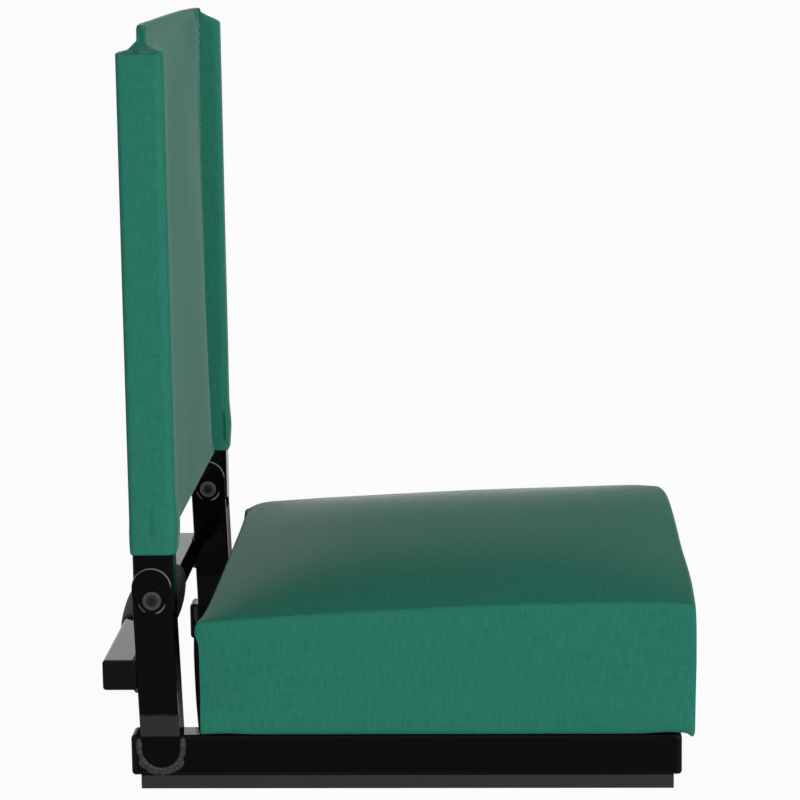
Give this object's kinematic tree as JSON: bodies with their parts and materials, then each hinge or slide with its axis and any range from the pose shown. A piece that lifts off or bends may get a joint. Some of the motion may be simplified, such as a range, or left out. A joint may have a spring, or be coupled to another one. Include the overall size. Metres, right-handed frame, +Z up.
{
  "type": "stadium seat",
  "caption": "Folding stadium seat: padded cloth cushion on a steel tube base with rubber strips, and a cloth sling back on two posts that folds forward over the cushion.",
  "frame": {"origin": "middle of the box on the floor plane, under the rubber strips", "axes": "+X the way the sitter faces, +Y the sitter's left, +Z up"},
  "size_m": [0.4409, 0.4298, 0.557],
  "materials": {
    "gloss_black_paint": "gloss black paint",
    "black_steel": "satin black coating",
    "zinc_steel": "zinc plated",
    "black_plastic": "satin moulded",
    "nylon": "natural nylon",
    "rubber": "matte",
    "grip_foam": "matte soft foam rubber",
    "green_cloth": "tight plain weave polyester",
    "seat_foam": "open-cell foam",
    "plywood": "raw plywood"
  },
  "bodies": {
    "base": {"side_rail_left": "gloss_black_paint", "side_rail_right": "gloss_black_paint", "front_cross_tube": "gloss_black_paint", "rear_cross_tube": "gloss_black_paint", "riser_outer_plate_left": "gloss_black_paint", "riser_outer_plate_right": "gloss_black_paint", "riser_inner_plate_left": "gloss_black_paint", "riser_inner_plate_right": "gloss_black_paint", "riser_stub_left": "gloss_black_paint", "riser_stub_right": "gloss_black_paint", "handle_bar": "gloss_black_paint", "rail_end_plugs": "black_plastic", "handle_bar_plugs": "black_plastic", "rubber_strip_left": "rubber", "rubber_strip_right": "rubber", "handle_grip": "grip_foam", "pivot_bolt_left": "black_steel", "pivot_bolt_right": "black_steel", "pivot_sleeve_nut_left": "black_steel", "pivot_sleeve_nut_right": "black_steel", "seat_cover": "green_cloth", "seat_foam": "seat_foam", "seat_board": "plywood", "seat_bolts": "zinc_steel", "seat_bolt_washers": "zinc_steel", "tee_nuts": "zinc_steel"},
    "back": {"back_post_left": "gloss_black_paint", "back_post_right": "gloss_black_paint", "post_top_plugs": "black_plastic", "back_cross_bar_lower": "gloss_black_paint", "back_cross_bar_upper": "gloss_black_paint", "back_cover": "green_cloth", "cover_screws": "zinc_steel", "pivot_bushes": "nylon"}
  },
  "joints": [
    {"name": "back_fold", "type": "hinge", "parent": "base", "child": "back", "pos_m": [-0.1776, 0, 0.1432], "axis": [0, 1, 0], "range_deg": [0, 86]}
  ]
}
